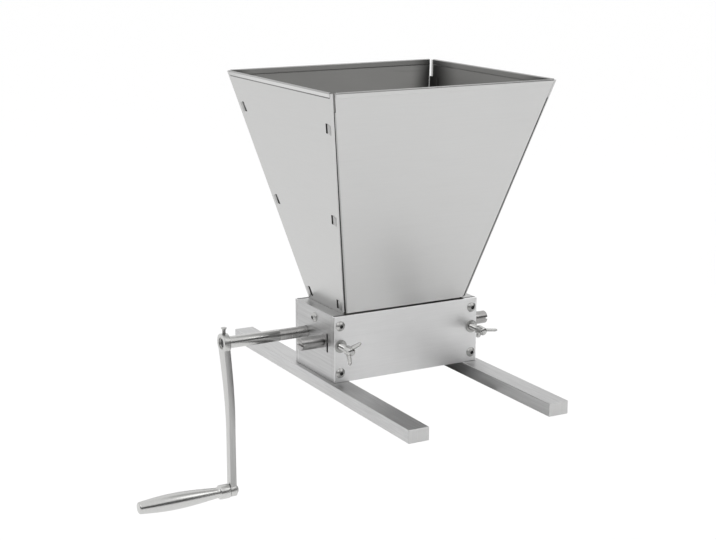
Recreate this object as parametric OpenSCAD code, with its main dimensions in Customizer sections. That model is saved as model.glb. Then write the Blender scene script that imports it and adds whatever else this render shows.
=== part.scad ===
// Hand-cranked malt mill: two fluted rollers in a plate body, a sheet-metal hopper above and two base bars below.
// Millimetres. +Z is up, the lock screws face the front at -Y, and the crank is on the -X side.
// The origin is the middle of the body, in the plane of the bars' undersides.

/* [Rollers] */
// Diameter of both rollers over the tips of the flutes
roller_d = 32; // [28:0.5:38]
// Length of both rollers
roller_len = 124; // [100:1:160]
// Grinding gap with the adjusters at mid setting
roller_gap = 1.4; // [1.4:0.1:3]
// How far the adjusters can move the front roller either way
gap_throw = 1.1; // [0.4:0.1:1.1]
// Number of flutes round each roller
flute_count = 60; // [36:2:90]
// Depth of the flutes
flute_depth = 0.6; // [0.2:0.1:1]
// Space between the end of a roller and its end plate
roller_end_gap = 2; // [1.8:0.1:4]
// Space between a roller and the plate beside it at the widest gap
roller_side_gap = 0.7; // [0.4:0.1:3]

/* [Body] */
// Thickness of the two end plates
end_plate_t = 12; // [11:0.5:18]
// Thickness of the front and back plates
cover_plate_t = 5; // [3:0.5:8]
// Height of the body
body_h = 62; // [58:1:80]
// Height of the roller axes above the body's underside
axis_h = 35.5; // [33:0.5:37]
// Chamfer along the edges of plates and bars
edge_chamfer = 0.4; // [0.2:0.1:1]
// Distance of the screw rows from the top and bottom of the body
screw_edge = 9; // [7:0.5:10]

/* [Base bars] */
// Width of each bar
bar_w = 20; // [18:1:30]
// Height of each bar
bar_h = 12; // [8:1:20]
// Length of each bar
bar_len = 350; // [250:5:450]
// How far the bars' middle lies in front of the body's middle
bar_shift = 5; // [0:1:20]
// How far the bars stand out beyond the end plates
bar_overhang = 5; // [2:0.5:7]
// Distance of the bar screws from the body's middle plane
bar_screw_y = 14; // [10:1:16]

/* [Hopper] */
// Outside width of the rim
hopper_top_w = 225; // [170:1:260]
// Outside depth of the rim
hopper_top_d = 212; // [140:1:260]
// Height of the hopper above the body
hopper_h = 210; // [150:1:260]
// Thickness of the sheet
sheet_t = 1; // [0.8:0.1:1.3]
// Height of the folded hem inside the rim
hem_h = 7; // [5:0.5:12]
// Distance of the flanges' upper ends from the rim
flange_relief = 17; // [14:0.5:20]
// Width of the flanges of the front and back panels
flange_w = 15; // [13:0.5:20]
// Distance of the front panel's foot from the outer face of the front plate
seat_inset = 2.5; // [1.5:0.1:3.5]
// Gap under the feet of the panels where they stand over the front and back plates
foot_gap = 1.2; // [0.6:0.1:2]
// Height of the side panels' skirts inside the body
skirt_h = 16; // [14:0.5:17]
// Length of the slots in the side panels
slot_len = 9.5; // [6:0.5:12]
// Width of the slots in the side panels
slot_w = 4; // [2.6:0.1:5]
// Distance of the slots from the hopper's corner edges
slot_inset = 12; // [8:0.5:13]
// Distance of the lowest slots from the panel's foot
slot_low = 8.7; // [8:0.1:20]
// Distance of the highest slots from the rim
slot_high = 33; // [26:0.5:50]
// Thickness of the lugs that stand in the slots
lug_t = 1.2; // [0.8:0.1:2]

/* [Drive and crank] */
// Diameter of both roller shafts
shaft_d = 10.5; // [9:0.5:12]
// Length of bare shaft outside the left end plate
shaft_out = 29; // [15:1:45]
// Diameter of the drive shaft inside the crank's sleeve
spigot_d = 8; // [7:0.5:8.5]
// Outside diameter of the crank's sleeve
sleeve_d = 11; // [10.5:0.5:13]
// Distance from the left end plate to the crank arm
crank_reach = 80.5; // [60:0.5:110]
// Distance from the shaft's axis to the grip's axis
crank_radius = 143; // [120:1:180]
// Thickness of the arm
arm_t = 6; // [5:0.5:9]
// Diameter of the arm's hub
hub_d = 18; // [16:0.5:24]
// Width of the arm below its hub
arm_root_w = 14; // [9:0.5:15]
// Width of the arm's slim lower stretch
arm_waist_w = 7.6; // [6:0.2:9]
// Distance from the hub's axis to where the slim stretch starts
arm_waist_at = 85; // [60:1:100]
// Diameter of the arm's eye
eye_d = 12; // [10:0.5:16]
// How far the arm bends towards the body
arm_bend = 4.8; // [0:0.2:10]
// Length over which the arm bends
arm_bend_len = 78; // [50:1:100]
// Depth of the sleeve's end inside the hub's outer face
hub_recess = 1.3; // [0.5:0.1:2]
// Thread diameter of the clamp screw
clamp_d = 3; // [2.5:0.5:4]
// Head diameter of the clamp screw
clamp_head_d = 5.8; // [5:0.2:8]
// Height of the flared head of the clamp screw
clamp_head_h = 2; // [1.5:0.1:3]
// How far the clamp screw stands out of the hub
clamp_out = 5.4; // [3.5:0.1:9]

/* [Grip] */
// Length of the grip
grip_len = 89; // [80:1:110]
// Diameter of the grip's collar
collar_d = 13.5; // [12:0.5:18]
// Length of the grip's collar
collar_len = 10; // [6:0.5:14]
// Diameter of the neck behind the collar
neck_d = 10; // [9.5:0.1:12]
// Length from the collar to the neck
neck_run = 3.5; // [2:0.1:5]
// Largest diameter of the grip
belly_d = 15.5; // [12:0.5:22]
// Distance of the largest diameter from the arm
belly_at = 55; // [40:1:65]
// Diameter of the grip's tip
tip_d = 11.2; // [9:0.2:14]
// Diameter of the spindle
spindle_d = 6; // [5:0.5:6]
// Length of the spindle inside the grip
spindle_in = 60; // [45:1:70]
// Distance of the clip from the arm
clip_at = 50; // [35:1:55]
// Head diameter of the spindle
spindle_head_d = 10; // [8:0.5:12]
// Head height of the spindle
spindle_head_h = 3.2; // [2:0.1:5]

/* [Gap adjusters] */
// Diameter of the adjusters in the end plates
adjuster_d = 12; // [11:0.5:14]
// Length of the adjusters outside the end plates
adjuster_out = 24; // [12:0.5:35]
// Diameter of the off-centre journals that carry the front roller
journal_d = 8; // [6:0.5:8.5]
// Length of the journals inside the front roller
journal_in = 15; // [8:0.5:30]
// Width of the screwdriver slot in the adjusters
driver_slot_w = 1.8; // [1:0.1:3]
// Depth of the screwdriver slot in the adjusters
driver_slot_depth = 2.2; // [1:0.1:4]
// Width of the clamping slit in the end plates
slit_w = 3; // [2:0.1:4]
// Height of the clamping slit
slit_h = 18; // [12:0.5:20]
// Thickness of the web between the slit and an adjuster
web_t = 1; // [0.8:0.1:1.5]

/* [Bushes] */
// Wall of the bushes
bush_wall = 1.8; // [1.2:0.1:2.2]
// Width of the bushes' flanges
bush_flange_w = 1.6; // [1:0.1:2]
// Thickness of the bushes' flanges
bush_flange_t = 0.8; // [0.5:0.1:1]
// Thickness of the lip outside the drive bushes
bush_lip = 2; // [1:0.1:4]

/* [Fasteners] */
// Thread diameter of the plate, bar and hopper screws
screw_d = 5; // [4:0.5:5]
// Head diameter of the button-head screws
head_d = 9.5; // [8:0.5:11]
// Head height of the button-head screws
head_h = 2.75; // [2:0.05:3.5]
// Width across the flats of the hexagon sockets
socket_af = 3; // [2:0.5:4]
// Depth of the hexagon sockets
socket_depth = 1.6; // [1:0.1:1.8]
// Length of thread that a screw has in an end plate
screw_bite = 11; // [8:0.5:12]
// Head diameter of the countersunk bar screws
countersunk_d = 9.6; // [8:0.2:11]
// Width across the flats of the hopper nuts
nut_af = 8; // [7:0.5:10]
// Height of the hopper nuts
nut_h = 4; // [3:0.2:5]
// Thread diameter of the wing screws
wing_d = 6; // [5:0.5:7]
// Bare thread of a wing screw in front of the plate
wing_standoff = 13; // [6:0.5:20]
// Hub diameter of the wing screws
wing_hub_d = 8.6; // [8:0.2:11]
// Hub length of the wing screws
wing_hub_len = 9; // [7:0.5:13]
// Span of the wings
wing_span = 23; // [17:0.5:26]
// Reach of the wings from the foot of the hub
wing_reach = 16; // [14:0.5:22]
// Thickness of the wings
wing_t = 1.8; // [1.6:0.1:3]
// Angle of the left wing screw
left_wing_angle = 60; // [0:1:180]
// Angle of the right wing screw
right_wing_angle = 10; // [0:1:180]
// Diameter of the washers under the wing screws
washer_d = 12; // [10:0.5:14]
// Thickness of the washers
washer_t = 1.2; // [0.8:0.1:2]

/* [Clearances] */
// Radial clearance of shafts that turn
run_clear = 0.05; // [0.02:0.01:0.1]
// Radial clearance of pieces that are seated for good
seat_clear = 0.02; // [0.01:0.01:0.05]
// Space between pieces that pass each other
pass_gap = 0.3; // [0.2:0.05:0.4]

/* [Hidden] */
$fn = 64;
over = 1;
bite = 0.3;

// Body planes
throat_w = roller_len + 2 * roller_end_gap;
throat_d = 2 * (roller_d + gap_throw + roller_side_gap) + roller_gap;
inner_x = throat_w / 2;
half_w = inner_x + end_plate_t;
inner_y = throat_d / 2;
half_d = inner_y + cover_plate_t;
plate_x = inner_x + end_plate_t / 2;
top_z = bar_h + body_h;
screw_rows = [bar_h + screw_edge, top_z - screw_edge];
hopper_screw_z = top_z - screw_edge;

// Roller and adjuster axes
axis_y = (roller_d + roller_gap) / 2;
axis_z = bar_h + axis_h;
adjuster_z = axis_z - gap_throw;

// Bushes
drive_bush_d = shaft_d + 2 * (run_clear + bush_wall);
idler_bush_d = journal_d + 2 * (run_clear + bush_wall);
slit_y = -(axis_y + adjuster_d / 2 + run_clear + web_t + slit_w / 2);

// Crank
arm_in_x = -half_w - crank_reach;
arm_out_x = arm_in_x - arm_t;
bend_start = 4;
grip_z = axis_z - crank_radius;
grip_x = arm_out_x + arm_bend - pass_gap;
clip_d = spindle_d + 2;
clip_t = 1;
clip_core_d = spindle_d - 1;

// Hopper
low_w = inner_x;
low_d = half_d - seat_inset;
high_w = hopper_top_w / 2;
high_d = hopper_top_d / 2;
side_tilt = atan((high_w - low_w) / hopper_h);
front_tilt = atan((high_d - low_d) / hopper_h);
side_slant = hopper_h / cos(side_tilt);
front_slant = hopper_h / cos(front_tilt);
edge_lean = atan((high_d - low_d) / side_slant);
lap_gap = 0.1;
hem_setback = 4 * sheet_t;
flange_foot = 3;
slot_rows = [slot_low, (slot_low + side_slant - slot_high) / 2, side_slant - slot_high];
lug_out = 0.8;
lug_len = slot_len - 2 * pass_gap;

// Wing screws
wing_tip_y = slit_y + slit_w / 2 - pass_gap;
wing_foot_y = -(half_d + wing_standoff);

// Outlines

function chamfered_rect(w, h, c) = [
    [-w / 2 + c, -h / 2], [w / 2 - c, -h / 2], [w / 2, -h / 2 + c], [w / 2, h / 2 - c],
    [w / 2 - c, h / 2], [-w / 2 + c, h / 2], [-w / 2, h / 2 - c], [-w / 2, -h / 2 + c]
];

function trapezoid(v0, v1, half0, half1) = [[-half0, v0], [half0, v0], [half1, v1], [-half1, v1]];

function arc(centre, r, from, to, steps = 12) =
    [for (i = [0:steps]) let (a = from + (to - from) * i / steps) centre + r * [cos(a), sin(a)]];

// Outline round two circles and the straight lines that touch both
function lobe(p, rp, q, rq) =
    let (d = q - p, turn = atan2(d.y, d.x), open = acos((rp - rq) / norm(d)))
    concat(arc(q, rq, turn - open, turn + open), arc(p, rp, turn + open, turn + 360 - open));

function flutes(d, count, depth) =
    [for (i = [0:2 * count - 1]) (d / 2 - (i % 2) * depth) * [cos(180 * i / count), sin(180 * i / count)]];

// Shapes that repeat

module rod_x(d, x0, x1) {
    translate([x0, 0, 0])
        rotate([0, 90, 0])
            cylinder(d = d, h = x1 - x0);
}

module rod_y(d, y0, y1) {
    translate([0, y1, 0])
        rotate([90, 0, 0])
            cylinder(d = d, h = y1 - y0);
}

module on_drive_axis() {
    translate([0, axis_y, axis_z])
        children();
}

module on_idler_axis() {
    translate([0, -axis_y, axis_z])
        children();
}

module on_adjuster_axis() {
    translate([0, -axis_y, adjuster_z])
        children();
}

module on_grip_axis() {
    translate([0, axis_y, grip_z])
        children();
}

module left_of_right() {
    mirror([1, 0, 0])
        children();
}

module chamfered_block(size) {
    intersection() {
        linear_extrude(size.z, center = true)
            polygon(chamfered_rect(size.x, size.y, edge_chamfer));
        rotate([90, 0, 0])
            linear_extrude(size.y, center = true)
                polygon(chamfered_rect(size.x, size.z, edge_chamfer));
        rotate([90, 0, 90])
            linear_extrude(size.x, center = true)
                polygon(chamfered_rect(size.y, size.z, edge_chamfer));
    }
}

module hexagon(af, h) {
    cylinder(d = af / cos(30), h = h, $fn = 6);
}

// Domed head that stands on the XY plane
module dome(d, h) {
    r = (d * d / 4 + h * h) / (2 * h);
    intersection() {
        translate([0, 0, h - r])
            sphere(r = r);
        cylinder(d = d, h = h);
    }
}

// Button-head screw along Z, with its seat at the origin and its thread below
module button_screw(length) {
    difference() {
        union() {
            dome(head_d, head_h);
            translate([0, 0, -length])
                cylinder(d = screw_d, h = length + bite);
        }
        translate([0, 0, head_h - socket_depth])
            hexagon(socket_af, socket_depth + over);
    }
}

// Bush along X whose flange ends at the origin
module flanged_bush(bore, outer, length) {
    difference() {
        union() {
            rod_x(outer, -bite, length);
            rod_x(outer + 2 * bush_flange_w, -bush_flange_t, 0);
        }
        rod_x(bore, -bush_flange_t - over, length + over);
    }
}

module fluted_roller(bore) {
    difference() {
        rotate([0, 90, 0])
            linear_extrude(roller_len, center = true)
                polygon(flutes(roller_d, flute_count, flute_depth));
        rod_x(bore, -roller_len / 2 - over, roller_len / 2 + over);
    }
}

// Places of the screws in one end plate, for holes and for screws
module at_cover_screws(back) {
    for (z = screw_rows, side = [-1, 1])
        translate([side * plate_x, back * half_d, z])
            rotate([-90 * back, 0, 0])
                children();
}

module at_bar_screws() {
    for (side = [-1, 1], end = [-1, 1])
        translate([side * plate_x, end * bar_screw_y, 0])
            children();
}

// Body

// Slit with round ends, so that the wing screw can press the web against the adjuster
module clamp_slit() {
    run = (slit_h - slit_w) / 2;
    for (end = [-1, 1])
        translate([0, 0, end * run])
            rod_x(slit_w, inner_x - over, half_w + over);
    translate([inner_x - over, -slit_w / 2, -run])
        cube([end_plate_t + 2 * over, slit_w, 2 * run]);
}

module end_plate() {
    color("gainsboro")
        difference() {
            translate([plate_x, 0, bar_h + body_h / 2])
                chamfered_block([end_plate_t, throat_d, body_h]);
            on_drive_axis() {
                rod_x(drive_bush_d + 2 * seat_clear, inner_x - over, half_w - bush_lip);
                rod_x(shaft_d + 2 * pass_gap, inner_x - over, half_w + over);
            }
            on_adjuster_axis()
                rod_x(adjuster_d + 2 * run_clear, inner_x - over, half_w + over);
            translate([0, slit_y, adjuster_z])
                clamp_slit();
            translate([plate_x, 0, adjuster_z])
                rod_y(wing_d + 2 * run_clear, -inner_y - over, slit_y);
            translate([0, 0, hopper_screw_z])
                rod_x(screw_d + 2 * seat_clear, inner_x - over, half_w + over);
            for (z = screw_rows, back = [-1, 1])
                translate([plate_x, back * inner_y, z])
                    rotate([90 * back, 0, 0])
                        translate([0, 0, -over])
                            cylinder(d = screw_d + 2 * seat_clear, h = screw_bite + over + pass_gap);
            at_bar_screws()
                cylinder(d = screw_d + 2 * seat_clear, h = bar_h + screw_bite + pass_gap);
        }
}

module cover_plate(back) {
    color("gainsboro")
        difference() {
            translate([0, back * (inner_y + cover_plate_t / 2), bar_h + body_h / 2])
                chamfered_block([2 * half_w, cover_plate_t, body_h]);
            at_cover_screws(back)
                translate([0, 0, -cover_plate_t - over])
                    cylinder(d = screw_d + 2 * pass_gap, h = cover_plate_t + 2 * over);
            if (back < 0)
                for (side = [-1, 1])
                    translate([side * plate_x, 0, adjuster_z])
                        rod_y(wing_d + 2 * pass_gap, -half_d - over, -inner_y + over);
        }
}

module base_bar(side) {
    bar_x = half_w + bar_overhang - bar_w / 2;
    cone_h = (countersunk_d - screw_d) / 2;
    color("lightgray")
        difference() {
            translate([side * bar_x, -bar_shift, bar_h / 2])
                chamfered_block([bar_w, bar_len, bar_h]);
            at_bar_screws() {
                translate([0, 0, -over])
                    cylinder(d = screw_d + 2 * seat_clear, h = bar_h + 2 * over);
                cylinder(d1 = countersunk_d + 2 * seat_clear, d2 = screw_d + 2 * seat_clear, h = cone_h);
                translate([0, 0, -over])
                    cylinder(d = countersunk_d + 2 * seat_clear, h = over);
            }
        }
}

module left_end_plate() {
    left_of_right()
        end_plate();
}

module right_end_plate() {
    end_plate();
}

module front_plate() {
    cover_plate(-1);
}

module back_plate() {
    cover_plate(1);
}

module left_base_bar() {
    base_bar(-1);
}

module right_base_bar() {
    base_bar(1);
}

module front_plate_screws() {
    color("silver")
        at_cover_screws(-1)
            button_screw(cover_plate_t + screw_bite);
}

module back_plate_screws() {
    color("silver")
        at_cover_screws(1)
            button_screw(cover_plate_t + screw_bite);
}

module base_bar_screws() {
    cone_h = (countersunk_d - screw_d) / 2;
    color("silver")
        at_bar_screws()
            difference() {
                union() {
                    cylinder(d1 = countersunk_d, d2 = screw_d, h = cone_h);
                    translate([0, 0, cone_h - bite])
                        cylinder(d = screw_d, h = bar_h + screw_bite - cone_h + bite);
                }
                translate([0, 0, -over])
                    hexagon(socket_af, socket_depth + over);
            }
}

// Hopper: in each panel's own frame, u runs across, v up the slope and w out of the panel

function side_half(v) = low_d + (high_d - low_d) * v / side_slant;
function front_half(v) = low_w + (high_w - low_w) * v / front_slant;

module in_side_frame() {
    translate([low_w, 0, top_z])
        rotate([0, side_tilt, 0])
            rotate([90, 0, 90])
                children();
}

module in_front_frame() {
    translate([0, -low_d, top_z])
        rotate([front_tilt, 0, 0])
            rotate([90, 0, 0])
                children();
}

// One layer of sheet, at the given depth behind the hopper's outer surface
module sheet(outline, depth = 0) {
    translate([0, 0, -depth - sheet_t])
        linear_extrude(sheet_t)
            polygon(outline);
}

module at_slots(end) {
    for (v = slot_rows)
        translate([end * (side_half(v) - slot_inset), v, 0])
            rotate([0, 0, -end * edge_lean])
                children();
}

module side_panel() {
    foot_half = inner_y - pass_gap;
    skirt_half = inner_y - 2 * pass_gap;
    hem_v = side_slant - hem_h;
    color("whitesmoke")
        difference() {
            union() {
                in_side_frame() {
                    sheet([
                        [-foot_half, foot_gap], [-foot_half, 0], [foot_half, 0], [foot_half, foot_gap],
                        [side_half(foot_gap), foot_gap], [side_half(side_slant), side_slant],
                        [-side_half(side_slant), side_slant], [-side_half(foot_gap), foot_gap]
                    ]);
                    sheet(trapezoid(hem_v, side_slant, side_half(hem_v) - hem_setback,
                        side_half(side_slant) - hem_setback), sheet_t);
                }
                translate([inner_x - sheet_t, -skirt_half, top_z - skirt_h])
                    cube([sheet_t, 2 * skirt_half, skirt_h + sheet_t / 2]);
            }
            in_side_frame()
                for (end = [-1, 1])
                    at_slots(end)
                        translate([0, 0, -sheet_t / 2])
                            cube([slot_w, slot_len, 2 * sheet_t], center = true);
            translate([0, 0, hopper_screw_z])
                rod_x(screw_d + 2 * seat_clear, inner_x - sheet_t - over, inner_x + over);
        }
}

module panel_flange() {
    depth = sheet_t + lap_gap;
    end_v = side_slant - flange_relief;
    sheet([
        [-side_half(flange_foot) + bite, flange_foot],
        [-side_half(flange_foot) + flange_w, flange_foot],
        [-side_half(end_v) + flange_w, end_v],
        [-side_half(end_v) + bite, end_v]
    ], depth);
    at_slots(-1)
        translate([0, 0, (lug_out - depth - bite) / 2])
            cube([lug_t, lug_len, lug_out + depth + bite], center = true);
}

module flanged_panel() {
    edge_in = (sheet_t + lap_gap) / cos(side_tilt);
    hem_v = front_slant - hem_h;
    color("whitesmoke")
        union() {
            in_front_frame() {
                sheet(trapezoid(foot_gap, front_slant, front_half(foot_gap) - edge_in,
                    front_half(front_slant) - edge_in));
                sheet(trapezoid(hem_v, front_slant, front_half(hem_v) - hem_setback,
                    front_half(front_slant) - hem_setback), sheet_t);
            }
            for (side = [0, 1])
                mirror([side, 0, 0])
                    in_side_frame()
                        panel_flange();
        }
}

module hopper_front_panel() {
    flanged_panel();
}

module hopper_back_panel() {
    mirror([0, 1, 0])
        flanged_panel();
}

module hopper_left_panel() {
    left_of_right()
        side_panel();
}

module hopper_right_panel() {
    side_panel();
}

module hopper_screws() {
    color("silver")
        for (side = [-1, 1])
            translate([side * half_w, 0, hopper_screw_z])
                rotate([0, side * 90, 0])
                    button_screw(end_plate_t + sheet_t + nut_h);
}

module hopper_nuts() {
    nut_x = inner_x - sheet_t - nut_h;
    color("silver")
        for (side = [0, 1])
            mirror([side, 0, 0])
                translate([nut_x, 0, hopper_screw_z])
                    difference() {
                        rotate([0, 90, 0])
                            hexagon(nut_af, nut_h);
                        rod_x(screw_d + 2 * seat_clear, -over, nut_h + over);
                    }
}

// Rollers and their bearings

module drive_bush() {
    color("darkgoldenrod")
        on_drive_axis()
            translate([inner_x, 0, 0])
                flanged_bush(shaft_d + 2 * run_clear, drive_bush_d, end_plate_t - bush_lip);
}

module left_drive_bush() {
    left_of_right()
        drive_bush();
}

module right_drive_bush() {
    drive_bush();
}

module drive_roller() {
    color("dimgray")
        on_drive_axis()
            fluted_roller(shaft_d + 2 * seat_clear);
}

module drive_shaft() {
    shoulder_x = -half_w - shaft_out;
    color("gray")
        on_drive_axis() {
            rod_x(shaft_d, shoulder_x, half_w - pass_gap);
            rod_x(spigot_d, arm_out_x + hub_recess + pass_gap, shoulder_x + bite);
        }
}

module idler_roller() {
    color("dimgray")
        on_idler_axis()
            fluted_roller(idler_bush_d + 2 * seat_clear);
}

module idler_bush() {
    color("darkgoldenrod")
        on_idler_axis()
            translate([roller_len / 2, 0, 0])
                mirror([1, 0, 0])
                    flanged_bush(journal_d + 2 * run_clear, idler_bush_d, journal_in + pass_gap);
}

module left_idler_bush() {
    left_of_right()
        idler_bush();
}

module right_idler_bush() {
    idler_bush();
}

// Turning an adjuster swings its journal, and with it the front roller, about the adjuster's own axis
module gap_adjuster() {
    end_x = half_w + adjuster_out;
    color("silver")
        difference() {
            union() {
                on_adjuster_axis() {
                    rod_x(adjuster_d, inner_x + pass_gap, end_x - edge_chamfer);
                    translate([end_x - edge_chamfer, 0, 0])
                        rotate([0, 90, 0])
                            cylinder(d1 = adjuster_d, d2 = adjuster_d - 2 * edge_chamfer, h = edge_chamfer);
                }
                on_idler_axis()
                    rod_x(journal_d, roller_len / 2 - journal_in, inner_x + over);
            }
            on_adjuster_axis()
                translate([end_x - driver_slot_depth, -adjuster_d, -driver_slot_w / 2])
                    cube([driver_slot_depth + over, 2 * adjuster_d, driver_slot_w]);
        }
}

module left_gap_adjuster() {
    left_of_right()
        gap_adjuster();
}

module right_gap_adjuster() {
    gap_adjuster();
}

// Wing screws: the wings are drawn in a plane of radius and reach, then turned to their angle

module wing_blade() {
    root_r = 2.4;
    end_r = 2;
    root = [wing_hub_d / 4, wing_hub_len / 2];
    tip = [wing_span / 2 - end_r, wing_reach - end_r];
    linear_extrude(wing_t, center = true)
        polygon(lobe(root, root_r, tip, end_r));
}

module wing_screw(side, angle) {
    color("lightgray")
        translate([side * plate_x, 0, adjuster_z]) {
            rod_y(wing_d, wing_foot_y - bite, wing_tip_y);
            translate([0, wing_foot_y, 0])
                rotate([90, 0, 0]) {
                    cylinder(d1 = wing_hub_d, d2 = wing_hub_d - 2, h = wing_hub_len);
                    rotate([0, 0, angle])
                        for (flip = [0, 180])
                            rotate([0, 0, flip])
                                rotate([90, 0, 0])
                                    wing_blade();
                }
        }
}

module left_wing_screw() {
    wing_screw(-1, left_wing_angle);
}

module right_wing_screw() {
    wing_screw(1, right_wing_angle);
}

module wing_screw_washers() {
    color("silver")
        for (side = [-1, 1])
            translate([side * plate_x, 0, adjuster_z])
                difference() {
                    rod_y(washer_d, -half_d - washer_t, -half_d);
                    rod_y(wing_d + 2 * pass_gap, -half_d - washer_t - over, -half_d + over);
                }
}

// Crank

function bend_shift(drop) = arm_bend * sin(90 * min(1, max(0, (drop - bend_start) / arm_bend_len)));

module crank_sleeve() {
    start_x = arm_out_x + hub_recess;
    end_x = -half_w - shaft_out;
    color("silver")
        difference() {
            on_drive_axis()
                rod_x(sleeve_d, start_x, end_x);
            on_drive_axis()
                rod_x(spigot_d + 2 * seat_clear, start_x - over, end_x + over);
            translate([(arm_in_x + arm_out_x) / 2, axis_y, axis_z])
                cylinder(d = clamp_d + 2 * seat_clear, h = sleeve_d);
        }
}

// The arm is what the bent side view and the tapered front view share
module crank_arm() {
    drops = [for (d = [-hub_d / 2 - over:4:crank_radius + eye_d / 2 + 4]) d];
    side_view = concat(
        [for (d = drops) [arm_out_x + bend_shift(d), -d]],
        [for (i = [len(drops) - 1:-1:0]) [arm_in_x + bend_shift(drops[i]), -drops[i]]]);
    waist = [0, -arm_waist_at];
    eye = [0, -crank_radius];
    color("silver")
        translate([0, axis_y, axis_z])
            difference() {
                intersection() {
                    rotate([90, 0, 0])
                        linear_extrude(2 * hub_d, center = true)
                            polygon(side_view);
                    translate([arm_out_x - over, 0, 0])
                        rotate([90, 0, 90])
                            linear_extrude(arm_t + arm_bend + 2 * over) {
                                circle(d = hub_d);
                                polygon(lobe([0, 0], arm_root_w / 2, waist, arm_waist_w / 2));
                                polygon(lobe(eye, arm_waist_w / 2 + bite, waist, arm_waist_w / 2));
                                translate(eye)
                                    circle(d = eye_d);
                            }
                }
                rod_x(sleeve_d + 2 * seat_clear, arm_out_x - over, arm_in_x + arm_bend);
                translate([0, 0, -crank_radius])
                    rod_x(spindle_d + 2 * seat_clear, arm_out_x - over, arm_in_x + arm_bend + over);
                translate([(arm_in_x + arm_out_x) / 2, 0, 0])
                    cylinder(d = clamp_d + 2 * seat_clear, h = hub_d);
            }
}

module crank_clamp_screw() {
    head_z = hub_d / 2 + clamp_out - clamp_head_h;
    tip_z = spigot_d / 2 + seat_clear;
    color("gray")
        translate([(arm_in_x + arm_out_x) / 2, axis_y, axis_z]) {
            translate([0, 0, tip_z])
                cylinder(d = clamp_d, h = head_z - tip_z + bite);
            translate([0, 0, head_z])
                cylinder(d1 = clamp_d, d2 = clamp_head_d, h = clamp_head_h);
        }
}

// Grip: its outline is drawn as radius against distance from the arm, then turned about the axis

function grip_rise(s) = neck_d / 2 + (belly_d - neck_d) / 2 * sin(90 * s);
function grip_fall(s) = belly_d / 2 - (belly_d - tip_d) / 2 * (1 - cos(90 * s));

module handle_grip() {
    steps = 12;
    soft = 1;
    neck_at = collar_len + neck_run;
    bore_r = spindle_d / 2 + run_clear;
    groove_r = clip_d / 2 + pass_gap;
    groove_half = clip_t / 2 + pass_gap;
    outside = concat(
        [[collar_d / 2 - soft, 0], [collar_d / 2, soft], [collar_d / 2, collar_len]],
        [for (i = [0:steps]) [grip_rise(i / steps), neck_at + (belly_at - neck_at) * i / steps]],
        [for (i = [1:steps]) [grip_fall(i / steps), belly_at + (grip_len - soft - belly_at) * i / steps]],
        [[tip_d / 2 - soft, grip_len], [0, grip_len]]);
    bore = [
        [0, spindle_in + pass_gap], [bore_r, spindle_in + pass_gap],
        [bore_r, clip_at + groove_half], [groove_r, clip_at + groove_half],
        [groove_r, clip_at - groove_half], [bore_r, clip_at - groove_half], [bore_r, 0]
    ];
    color("gainsboro")
        on_grip_axis()
            translate([grip_x, 0, 0])
                rotate([0, -90, 0])
                    rotate_extrude()
                        polygon(concat(outside, bore));
}

module handle_spindle() {
    seat_x = arm_in_x + arm_bend;
    clip_x = grip_x - clip_at;
    groove_half = clip_t / 2 + seat_clear;
    color("silver")
        on_grip_axis() {
            rod_x(spindle_d, grip_x - spindle_in, clip_x - groove_half);
            rod_x(clip_core_d, clip_x - over, clip_x + over);
            rod_x(spindle_d, clip_x + groove_half, seat_x + bite);
            translate([seat_x, 0, 0])
                rotate([0, 90, 0])
                    dome(spindle_head_d, spindle_head_h);
        }
}

module spindle_clip() {
    clip_x = grip_x - clip_at;
    color("dimgray")
        on_grip_axis()
            difference() {
                rod_x(clip_d, clip_x - clip_t / 2, clip_x + clip_t / 2);
                rod_x(clip_core_d + 2 * seat_clear, clip_x - over, clip_x + over);
            }
}

left_end_plate();
right_end_plate();
front_plate();
back_plate();
left_base_bar();
right_base_bar();
front_plate_screws();
back_plate_screws();
base_bar_screws();
hopper_front_panel();
hopper_back_panel();
hopper_left_panel();
hopper_right_panel();
hopper_screws();
hopper_nuts();
left_drive_bush();
right_drive_bush();
drive_roller();
drive_shaft();
idler_roller();
left_gap_adjuster();
right_gap_adjuster();
left_idler_bush();
right_idler_bush();
left_wing_screw();
right_wing_screw();
wing_screw_washers();
crank_sleeve();
crank_arm();
crank_clamp_screw();
handle_grip();
handle_spindle();
spindle_clip();
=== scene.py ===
import math

import bmesh
import bpy
from mathutils import Matrix, Vector


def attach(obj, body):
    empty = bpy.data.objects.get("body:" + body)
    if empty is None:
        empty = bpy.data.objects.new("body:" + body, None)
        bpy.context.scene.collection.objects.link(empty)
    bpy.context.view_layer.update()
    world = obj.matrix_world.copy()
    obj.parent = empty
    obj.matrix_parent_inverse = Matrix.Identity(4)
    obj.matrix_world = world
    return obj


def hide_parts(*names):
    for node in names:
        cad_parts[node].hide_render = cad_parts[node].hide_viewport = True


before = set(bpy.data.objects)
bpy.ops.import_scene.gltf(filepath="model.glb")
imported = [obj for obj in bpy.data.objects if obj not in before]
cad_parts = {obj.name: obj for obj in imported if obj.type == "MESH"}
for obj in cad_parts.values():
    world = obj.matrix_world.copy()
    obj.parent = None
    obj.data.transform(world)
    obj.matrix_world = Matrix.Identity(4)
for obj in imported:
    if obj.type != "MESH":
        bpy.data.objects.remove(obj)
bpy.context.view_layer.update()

scene = bpy.context.scene
scene.view_settings.view_transform = "Standard"

# The mill's lengths are in millimetres, as on the drawing, and MM brings them to metres.
# The studio's lengths are in metres.
MM = 0.001
TO_METRES = Matrix.Scale(MM, 4)


# Finishes

# Sockets of a Mix node that mixes colours
MIX_A, MIX_B, MIX_RESULT = 6, 7, 2
# Where nearly all the values of a noise lie
NOISE_LOW, NOISE_HIGH = 0.3, 0.7
LINE_DETAIL, LINE_ROUGHNESS, CLOUD_DETAIL = 3.0, 0.6, 2.0
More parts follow.
